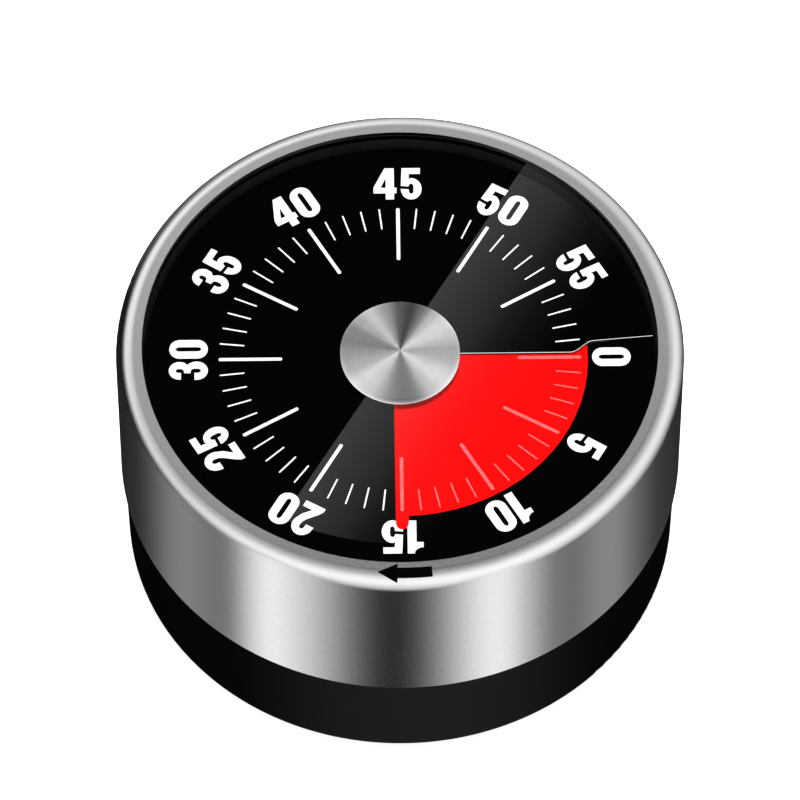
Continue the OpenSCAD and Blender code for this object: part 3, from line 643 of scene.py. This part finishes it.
BAR = 0.95
DIGIT_H = 5.1
DIGIT_TRIM = 0.08
DIGITS = {
    "0": (3.05, [
        arc(1.525, 3.75, 1.525, 1.37, 0, 180) + arc(1.525, 1.35, 1.525, 1.37, 180, 360),
        arc(1.525, 3.72, 0.36, 0.53, 0, 180) + arc(1.525, 1.38, 0.36, 0.53, 180, 360)]),
    "1": (2.15, [
        [(2.15, 0), (2.15, 5.1), (1.2, 5.1)] + arc(0.0, 5.1, 1.2, 0.95, -15, -90, 6)
        + [(0, 3.35), (0.95, 3.35), (0.95, 0)]]),
    "2": (3.0, [
        [(0, 0), (3.0, 0), (3.0, BAR), (1.5, BAR), (2.45, 2.05)]
        + arc(1.5, 3.6, 1.5, 1.6, -35, 180) + [(0, 3.3), (1.15, 3.3)]
        + arc(1.52, 3.7, 0.37, 0.5, 180, 0) + [(1.8, 3.1), (1.5, 2.55), (0.35, 1.15), (0, 0.55)]]),
    "3": (3.0, [
        [(0.05, 3.55)] + arc(1.5, 3.75, 1.45, 1.42, 180, 0) + [(2.85, 3.15), (2.45, 2.72)]
        + arc(1.5, 1.47, 1.5, 1.5, 35, -180, 18) + [(0, 1.75), (1.15, 1.75)]
        + arc(1.5, 1.4, 0.35, 0.5, 180, 360) + [(1.85, 1.85), (1.65, 2.2), (1.1, 2.3), (1.1, 3.1),
                                               (1.6, 3.2), (1.8, 3.5)]
        + arc(1.47, 3.8, 0.33, 0.45, 0, 180) + [(1.14, 3.55)]]),
    "4": (3.2, [
        [(1.7, 0), (2.85, 0), (2.85, 1.0), (3.2, 1.0), (3.2, 1.9), (2.85, 1.9), (2.85, 5.1),
         (1.55, 5.1), (0, 1.95), (0, 1.0), (1.7, 1.0)],
        [(0.98, 1.9), (1.7, 1.9), (1.7, 3.5)]]),
    "5": (3.0, [
        [(0.25, 5.1), (2.8, 5.1), (2.8, 4.15), (1.25, 4.15), (1.2, 3.25)]
        + arc(1.55, 1.7, 1.45, 1.75, 95, -180, 20) + [(1.22, 1.6)]
        + arc(1.55, 1.35, 0.33, 0.47, 180, 360) + arc(1.53, 2.05, 0.35, 0.5, 0, 160, 8)
        + [(1.15, 2.1), (0.12, 2.2)]]),
}


def numeral(text):
    """Flat outline of a number centred on x = 0, with its base on y = 0, as a mesh."""
    curve = bpy.data.curves.new("numeral_" + text, "CURVE")
    curve.dimensions = "2D"
    curve.fill_mode = "BOTH"
    width = sum(DIGITS[d][0] for d in text) + DIGIT_GAP * (len(text) - 1)
    left = -width / 2
    for digit in text:
        for outline in DIGITS[digit][1]:
            spline = curve.splines.new("POLY")
            spline.points.add(len(outline) - 1)
            for point, (x, y) in zip(spline.points, outline):
                point.co = (left + x, y, 0, 1)
            spline.use_cyclic_u = True
        left += DIGITS[digit][0] + DIGIT_GAP
    piece = bpy.data.objects.new("numeral_" + text, curve)
    bpy.context.collection.objects.link(piece)
    select_only(piece)
    bpy.ops.object.convert(target="MESH")
    # Slimmer strokes, at the same height
    bpy.ops.object.mode_set(mode="EDIT")
    bpy.ops.mesh.select_all(action="SELECT")
    bpy.ops.mesh.remove_doubles(threshold=MERGE)
    bpy.ops.mesh.inset(thickness=DIGIT_TRIM)
    bpy.ops.mesh.select_all(action="INVERT")
    bpy.ops.mesh.delete(type="FACE")
    bpy.ops.mesh.select_all(action="SELECT")
    bpy.ops.transform.resize(value=(1, DIGIT_H / (DIGIT_H - 2 * DIGIT_TRIM), 1),
                             center_override=(0, DIGIT_H / 2, 0))
    bpy.ops.object.mode_set(mode="OBJECT")
    return bpy.context.object


def raise_print(piece):
    """Gives a flat print its thickness, upwards."""
    select_only(piece)
    bpy.ops.object.mode_set(mode="EDIT")
    bpy.ops.mesh.select_all(action="SELECT")
    bpy.ops.mesh.remove_doubles(threshold=MERGE)
    bpy.ops.mesh.extrude_region_move(TRANSFORM_OT_translate={"value": (0, 0, PRINT_T)})
    bpy.ops.mesh.select_all(action="SELECT")
    bpy.ops.mesh.normals_make_consistent(inside=False)
    bpy.ops.object.mode_set(mode="OBJECT")


def numerals():
    """The numbers 0 to 55 round the dial, with their feet to the middle."""
    numbers = []
    for minute in range(0, 60, 5):
        piece = numeral(str(minute))
        raise_print(piece)
        outward = Matrix.Translation((0, DIGIT_BASE_R, 0))
        turn = Matrix.Rotation(math.radians(-90 - 6 * minute), 4, "Z")
        piece.data.transform(turn @ outward)
        numbers.append(piece)
    numbers = join(numbers, "numerals")
    lay_on_dial(numbers)
    show(numbers, "base", "print_white")


# ---------------------------------------------------------------- slit edge and arrow
def slit_edge():
    """Pale cut edge of the dial's upper end, from under the hub to the dial's edge."""
    steps = 64
    deselect()
    bpy.ops.mesh.primitive_grid_add(x_subdivisions=steps, y_subdivisions=1, size=1)
    strip = bpy.context.object
    strip.name = "slit_edge"
    strip.data.name = "slit_edge"
    under_hub = 0.5
    short_of_edge = 0.05
    start = HUB_R - under_hub
    for vertex in strip.data.vertices:
        along, across, _ = vertex.co
        r = start + (DIAL_R - short_of_edge - start) * (along + 0.5)
        lead = slit_lead(r)
        angle = math.radians(6 * lead) + (across + 0.5) * SLIT_EDGE_W / r
        height = DIAL_TOP_Z + TURN_RISE * (60 - lead) / 60
        vertex.co = Vector((r * math.cos(angle), r * math.sin(angle), height)) * MM
    thicken(strip, PRINT_T * MM)
    show(strip, "base", "print_white")


def thicken(piece, thickness):
    """Gives an open sheet its thickness on the side that its normals point to."""
    select_only(piece)
    bpy.ops.object.modifier_add(type="SOLIDIFY")
    piece.modifiers[-1].thickness = thickness
    piece.modifiers[-1].offset = 1
    bpy.ops.object.modifier_apply(modifier=piece.modifiers[-1].name)


def on_rim(u, s):
    """Place on the rim: u along it from the front, s outwards over its rounding."""
    bend = max(0.0, s - RIM_FLAT_R) / RIM_ROUND
    r = min(s, RIM_FLAT_R) + RIM_ROUND * math.sin(bend)
    z = RIM_Z - RIM_ROUND * (1 - math.cos(bend))
    angle = u / ARROW_R
    return Vector((r * math.sin(angle), -r * math.cos(angle), z)) * MM


def arrow():
    """Arrow printed on the rim, bent over its rounding."""
    neck = ARROW_TIP + ARROW_HEAD["length"]
    step_w = 0.02
    head_steps = 8
    shaft_steps = 10
    head = [(ARROW_TIP + ARROW_HEAD["length"] * k / head_steps,
             ARROW_HEAD["half_width"] * k / head_steps) for k in range(head_steps + 1)]
    shaft = [(neck + step_w + (ARROW_END - neck - step_w) * k / shaft_steps, ARROW_SHAFT_HALF_W)
             for k in range(shaft_steps + 1)]
    columns = head + shaft
    deselect()
    bpy.ops.mesh.primitive_grid_add(x_subdivisions=len(columns) - 1, y_subdivisions=12, size=1)
    piece = bpy.context.object
    piece.name = "rim_arrow"
    piece.data.name = "rim_arrow"
    for vertex in piece.data.vertices:
        u, half_width = columns[round((vertex.co.x + 0.5) * (len(columns) - 1))]
        vertex.co = on_rim(u, ARROW_R - 2 * half_width * vertex.co.y)
    thicken(piece, ARROW_T * MM)
    show(piece, "sleeve", "print_black")


# ---------------------------------------------------------------- studio
def lean_and_bearing(tree):
    """The way a face looks, and its lean, to mirror this place to the camera at rest."""
    place = add(tree, "ShaderNodeVectorMath", operation="NORMALIZE",
                inputs={0: object_coordinates(tree)}).outputs[0]
    half = add(tree, "ShaderNodeVectorMath", operation="ADD",
               inputs={0: place, 1: tuple(TO_CAMERA)}).outputs[0]
    facing = add(tree, "ShaderNodeVectorMath", operation="NORMALIZE",
                 inputs={0: half}).outputs[0]
    axes = axes_of(tree, facing)
    lean = maths(tree, "DEGREES", maths(tree, "ARCCOSINE", axes["Z"]))
    return axes, lean


def finish_glow(tree, material, level):
    """A glow of some level that stays see-through."""
    glow = add(tree, "ShaderNodeEmission", inputs={"Color": (1, 1, 1, 1), "Strength": level})
    clear = add(tree, "ShaderNodeBsdfTransparent")
    both = add(tree, "ShaderNodeAddShader", inputs={
        0: clear.outputs["BSDF"], 1: glow.outputs["Emission"]})
    finish_material(tree, both.outputs["Shader"])
    material.cycles.emission_sampling = "NONE"


def glow_dome(name, radius, tree, material, level, receivers):
    """A dome around the timer that only the glossy faces of its receivers see."""
    finish_glow(tree, material, level)
    deselect()
    bpy.ops.mesh.primitive_uv_sphere_add(segments=48, ring_count=24, radius=radius)
    dome = bpy.context.object
    dome.name = name
    dome.data.materials.append(material)
    set_visibility(dome, glossy=True)
    link_light(dome, name + "_sees", *receivers)


# Brightness of the upright wall by its bearing, in degrees from the front, as the camera
# at rest sees it
WALL_GLOW = ((-90, 0.01), (-70, 0.02), (-61, 0.07), (-52, 0.24), (-45, 0.17), (-39.5, 0.14),
             (-35.5, 0.22), (-29.5, 0.94), (-24, 0.78), (-15, 0.32), (-8, 0.05), (-1.5, 0.0),
             (4, 0.07), (9.5, 0.34), (15, 0.74), (20, 0.9), (24, 0.62), (29, 0.27),
             (33, 0.15), (38, 0.14), (43, 0.22), (49, 0.25), (56, 0.11), (65, 0.03),
             (90, 0.01))

# Brightness of the ring of light on the rounded rim by bearing, as the camera at rest sees it
RING_GLOW = ((-180, 0.66), (-140, 0.64), (-100, 0.79), (-80, 0.74), (-60, 0.61), (-42, 0.72),
             (-22, 0.97), (0, 0.92), (18, 0.98), (40, 0.9), (62, 0.79), (92, 0.82),
             (108, 0.66), (122, 0.53), (140, 0.58), (180, 0.66))
STEEL_GLOW_LEVEL = 1.25


def steel_dome():
    """Studio of the sleeve: a ring of light for its rim and bands for its wall."""
    material, tree = new_material("steel_dome")
    axes, lean = lean_and_bearing(tree)
    forward = product(tree, axes["Y"], -1.0)
    bearing = maths(tree, "ARCTAN2", axes["X"], forward)
    facing_front = maths(tree, "COSINE", bearing)
    leftward = product(tree, maths(tree, "SINE", bearing), -1.0)
    facing_left = maths(tree, "MAXIMUM", leftward, 0.0)
    # Ring: its level falls away from a lean that changes with the bearing
    centre = maths(tree, "MULTIPLY_ADD", facing_front, 13.0, 30.0)
    centre = maths(tree, "MULTIPLY_ADD", facing_left, -6.0, centre)
    away = maths(tree, "SUBTRACT", lean, centre)
    below = maths(tree, "GREATER_THAN", away, 0.0)
    spread = maths(tree, "MULTIPLY_ADD", facing_left, -0.85, 0.3)
    spread = maths(tree, "MULTIPLY_ADD", below, spread, 1.0)
    width = maths(tree, "MULTIPLY_ADD", facing_front, 6.0, 18.0)
    away = maths(tree, "DIVIDE", away, product(tree, width, spread))
    ring = maths(tree, "EXPONENT", product(tree, away, away, -1.0))
    around = maths(tree, "MULTIPLY_ADD", bearing, 0.5 / math.pi, 0.5)
    strength = ramp(tree, around, [(a / 360 + 0.5, v) for a, v in RING_GLOW], "B_SPLINE")
    onset = map_range(tree, lean, 0, 14, 0.1, 1)
    ring = product(tree, ring, strength, onset)
    # Flat of the rim: darker towards the front, brightest on the left
    back_light = map_range(tree, forward, -0.004, 0.03, 0.31, 0.1)
    left_light = map_range(tree, axes["X"], -0.026, -0.004, 0.09, 0)
    right_light = map_range(tree, axes["X"], 0.01, 0.026, 0, 0.05)
    flat = total(tree, back_light, left_light, right_light)
    flat = product(tree, flat, map_range(tree, lean, 4, 24, 1, 0))
    far_edge = product(tree, map_range(tree, facing_front, -0.9, -0.1, 0.14, 0),
                       map_range(tree, lean, 14, 30, 0, 1))
    above = total(tree, ring, flat, far_edge)
    above = product(tree, above, map_range(tree, lean, 66, 88, 1, 0))
    # Wall: bands of light from side to side
    across = maths(tree, "MULTIPLY_ADD", bearing, 1 / math.pi, 0.5)
    wall = ramp(tree, across, [(a / 180 + 0.5, v) for a, v in WALL_GLOW], "B_SPLINE")
    wall = product(tree, wall, map_range(tree, lean, 36, 58, 0, 1))
    level = product(tree, maths(tree, "MAXIMUM", above, wall), STEEL_GLOW_LEVEL)
    glow_dome("steel_dome", DOME_R["sleeve"], tree, material, level, [nodes["steel_sleeve"]])


# Brightness of the hub by the bearing of its spun rings, from the right round to the left
HUB_GLOW = ((0, 0.4), (12, 0.64), (28, 0.97), (46, 0.84), (60, 0.76), (70, 0.44), (79, 0.14),
            (92, 0.14), (106, 0.36), (120, 0.68), (136, 1.0), (150, 0.84), (163, 0.52),
            (172, 0.42), (180, 0.44))
HUB_GLOW_LEVEL = 1.93


def hub_dome():
    """Studio of the hub cap: fans of light that its spun rings draw out to its middle."""
    material, tree = new_material("hub_dome")
    axes, lean = lean_and_bearing(tree)
    bearing = maths(tree, "ARCTAN2", axes["Y"], axes["X"])
    turn = maths(tree, "FRACT", maths(tree, "DIVIDE", bearing, math.pi))
    fan = ramp(tree, turn, [(a / 180, v) for a, v in HUB_GLOW], "B_SPLINE")
    fan = product(tree, fan, map_range(tree, lean, 5, 14, 0, HUB_GLOW_LEVEL))
    front = map_range(tree, axes["Y"], -0.5, 0.1, 1.3, 0.2)
    level = add(tree, "ShaderNodeMix", data_type="FLOAT", inputs={
        0: map_range(tree, lean, 40, 60, 0, 1), 2: fan, 3: front}).outputs[0]
    glow_dome("hub_dome", DOME_R["hub"], tree, material, level, [nodes["hub_cap"]])


# Half disc of the sheen in the lens's plane, in millimetres, and how it fades from its chord
CARD_ANGLE = math.radians(59.5)
CARD_CENTRE = (0.2, 1.9)
CARD_R = 33.8
CARD_REACH = 19
CARD_FADE = ((0, 1.0), (0.2, 0.72), (0.42, 0.44), (0.55, 0.22), (0.7, 0.09), (1, 0.0))
LENS_CARD = {"height": 540, "strength": 0.28}
DIAL_CARD = {"height": 560, "strength": 0.584}


def half_disc(steps=64):
    """Outline of the sheen, from one end of its chord round the arc to the other."""
    ends = []
    for sign in (1, -1):
        way = Vector((math.cos(CARD_ANGLE), math.sin(CARD_ANGLE))) * sign
        offset = Vector(CARD_CENTRE)
        along = way.dot(offset)
        ends.append(way * (along + math.sqrt(along ** 2 - offset.length_squared + CARD_R ** 2)))
    start, stop = [math.atan2(p.y - CARD_CENTRE[1], p.x - CARD_CENTRE[0]) for p in ends]
    turns = [start + (stop - start) * i / steps for i in range(steps + 1)]
    return [Vector((CARD_CENTRE[0] + CARD_R * math.cos(a), CARD_CENTRE[1] + CARD_R * math.sin(a)))
            for a in turns]


def sheen_card(name, mirror_z, settings, receiver):
    """Pale half disc where the camera at rest sees it mirrored, as a sheen, in a level face."""
    material, tree = new_material(name)
    card_z = settings["height"]
    share = (card_z - mirror_z) / (CAMERA_PLACE.z / MM - mirror_z)
    spread = 1 + share
    # Where the camera's line of sight to a place of the lens meets the mirror
    camera_xy = Vector((CAMERA_PLACE.x, CAMERA_PLACE.y)) / MM
    drop = (LENS_TOP_Z - mirror_z) / (CAMERA_PLACE.z / MM - LENS_TOP_Z)
    card_angle = Vector((math.sin(CARD_ANGLE), -math.cos(CARD_ANGLE)))
    place = object_coordinates(tree)
    across = add(tree, "ShaderNodeVectorMath", operation="DOT_PRODUCT", inputs={
        0: place, 1: (*card_angle, 0)}).outputs["Value"]
    middle = -(spread * drop + share) * camera_xy.dot(card_angle)
    depth = maths(tree, "SUBTRACT", across, middle * MM)
    depth = maths(tree, "DIVIDE", depth, CARD_REACH * spread * MM)
    level = ramp(tree, depth, CARD_FADE)
    finish_glow(tree, material, product(tree, level, settings["strength"]))
    outline = []
    for point in half_disc():
        point = point + (point - camera_xy) * drop
        outline.append(spread * point - share * camera_xy)
    deselect()
    bpy.ops.mesh.primitive_circle_add(vertices=len(outline), radius=1, fill_type="NGON")
    card = bpy.context.object
    card.name = name
    for vertex, point in zip(card.data.vertices, outline):
        vertex.co = Vector((point.x, point.y, card_z)) * MM
    card.data.materials.append(material)
    set_visibility(card, glossy=True)
    link_light(card, name + "_sees", receiver)


def set_visibility(piece, camera=False, diffuse=False, glossy=False, shadow=False):
    """Which rays see a piece of the studio."""
    piece.visible_camera = camera
    piece.visible_diffuse = diffuse
    piece.visible_glossy = glossy
    piece.visible_transmission = False
    piece.visible_volume_scatter = False
    piece.visible_shadow = shadow


def link_light(source, name, *receivers):
    """Makes a light or a glowing card reach only these pieces."""
    group = bpy.data.collections.new(name)
    for piece in receivers:
        group.objects.link(piece)
    source.light_linking.receiver_collection = group


def floor():
    """Plain pale floor with a glow of its own."""
    material, tree = new_material("studio_floor")
    pale = add(tree, "ShaderNodeBsdfDiffuse", inputs={
        "Color": (FLOOR_GREY, FLOOR_GREY, FLOOR_GREY, 1)})
    glow = add(tree, "ShaderNodeEmission", inputs={
        "Color": (1, 1, 1, 1), "Strength": FLOOR_GLOW})
    both = add(tree, "ShaderNodeAddShader", inputs={
        0: pale.outputs["BSDF"], 1: glow.outputs["Emission"]})
    finish_material(tree, both.outputs["Shader"])
    material.cycles.emission_sampling = "NONE"
    deselect()
    bpy.ops.mesh.primitive_circle_add(vertices=64, radius=FLOOR_R, fill_type="NGON",
                                      location=(0, 0, FLOOR_Z))
    piece = bpy.context.object
    piece.name = "studio_floor"
    piece.data.materials.append(material)
    set_visibility(piece, camera=True, diffuse=True)


# Brightness of the base by bearing from its brightest side, and of the horizon by height
BODY_GLOW = ((0, 0.16), (13, 0.15), (22.5, 0.085), (30, 0.03), (38, 0.0), (180, 0.0))
BODY_GLOW_TURN = math.radians(4)
HORIZON_GLOW = ((0.0, 0.0), (0.25, 0.0), (0.36, 0.04), (0.5, 0.2), (0.65, 0.15), (0.8, 0.0),
                (1, 0.0))


def body_dome(receivers):
    """Studio of the base and the rest: a soft low front light and a faint pale horizon."""
    material, tree = new_material("body_dome")
    axes, lean = lean_and_bearing(tree)
    forward = product(tree, axes["Y"], -1.0)
    bearing = maths(tree, "ARCTAN2", axes["X"], forward)
    bearing = maths(tree, "SUBTRACT", bearing, BODY_GLOW_TURN)
    around = maths(tree, "DIVIDE", maths(tree, "ABSOLUTE", bearing), math.pi)
    low = ramp(tree, around, [(a / 180, v) for a, v in BODY_GLOW], "B_SPLINE")
    rise = axes_of(tree, object_coordinates(tree))["Z"]
    height = maths(tree, "MULTIPLY_ADD", rise, 0.25, 0.5)
    horizon = ramp(tree, height, HORIZON_GLOW, "B_SPLINE")
    glow_dome("body_dome", DOME_R["body"], tree, material, total(tree, low, horizon), receivers)


def studio_world():
    """Pale all round for the camera and for soft shading, dark in mirrors."""
    world = bpy.data.worlds.new("studio")
    world.use_nodes = True
    tree = world.node_tree
    tree.nodes.clear()
    path = add(tree, "ShaderNodeLightPath")
    soft = add(tree, "ShaderNodeMix", data_type="FLOAT", inputs={
        0: path.outputs["Is Diffuse Ray"], 2: 1.0, 3: 0.3}).outputs[0]
    level = add(tree, "ShaderNodeMix", data_type="FLOAT", inputs={
        0: path.outputs["Is Glossy Ray"], 2: soft, 3: 0.0}).outputs[0]
    background = add(tree, "ShaderNodeBackground", inputs={"Strength": level})
    output = tree.nodes.new("ShaderNodeOutputWorld")
    tree.links.new(background.outputs["Background"], output.inputs["Surface"])
    bpy.context.scene.world = world


def key_light():
    """Soft round lamp above the timer, not mirrored in it."""
    deselect()
    bpy.ops.object.light_add(type="AREA", location=KEY_LIGHT["place"])
    light = bpy.context.object
    light.name = "key_light"
    light.data.shape = "DISK"
    light.data.size = KEY_LIGHT["size"]
    light.data.energy = KEY_LIGHT["power"]
    way = Vector(KEY_LIGHT["aim"]) - Vector(KEY_LIGHT["place"])
    light.rotation_euler = way.to_track_quat("-Z", "Y").to_euler()
    light.visible_glossy = False


def hide_from_mirrors():
    """Keeps the part out of its own mirrors, and the film from throwing a shadow."""
    nodes["time_disc"].visible_shadow = False
    for piece in nodes.values():
        piece.visible_glossy = False


add_camera()
dress_nodes()
minute_marks()
numerals()
slit_edge()
arrow()
hide_from_mirrors()
floor()
steel_dome()
hub_dome()
body_dome([piece for name, piece in nodes.items()
           if name not in ("steel_sleeve", "hub_cap", "lens", "dial_plate")])
sheen_card("lens_sheen", LENS_TOP_Z, LENS_CARD, nodes["lens"])
sheen_card("dial_sheen", DIAL_TOP_Z + TURN_RISE / 2, DIAL_CARD, nodes["dial_plate"])
studio_world()
key_light()

bpy.context.scene.view_settings.view_transform = "Standard"
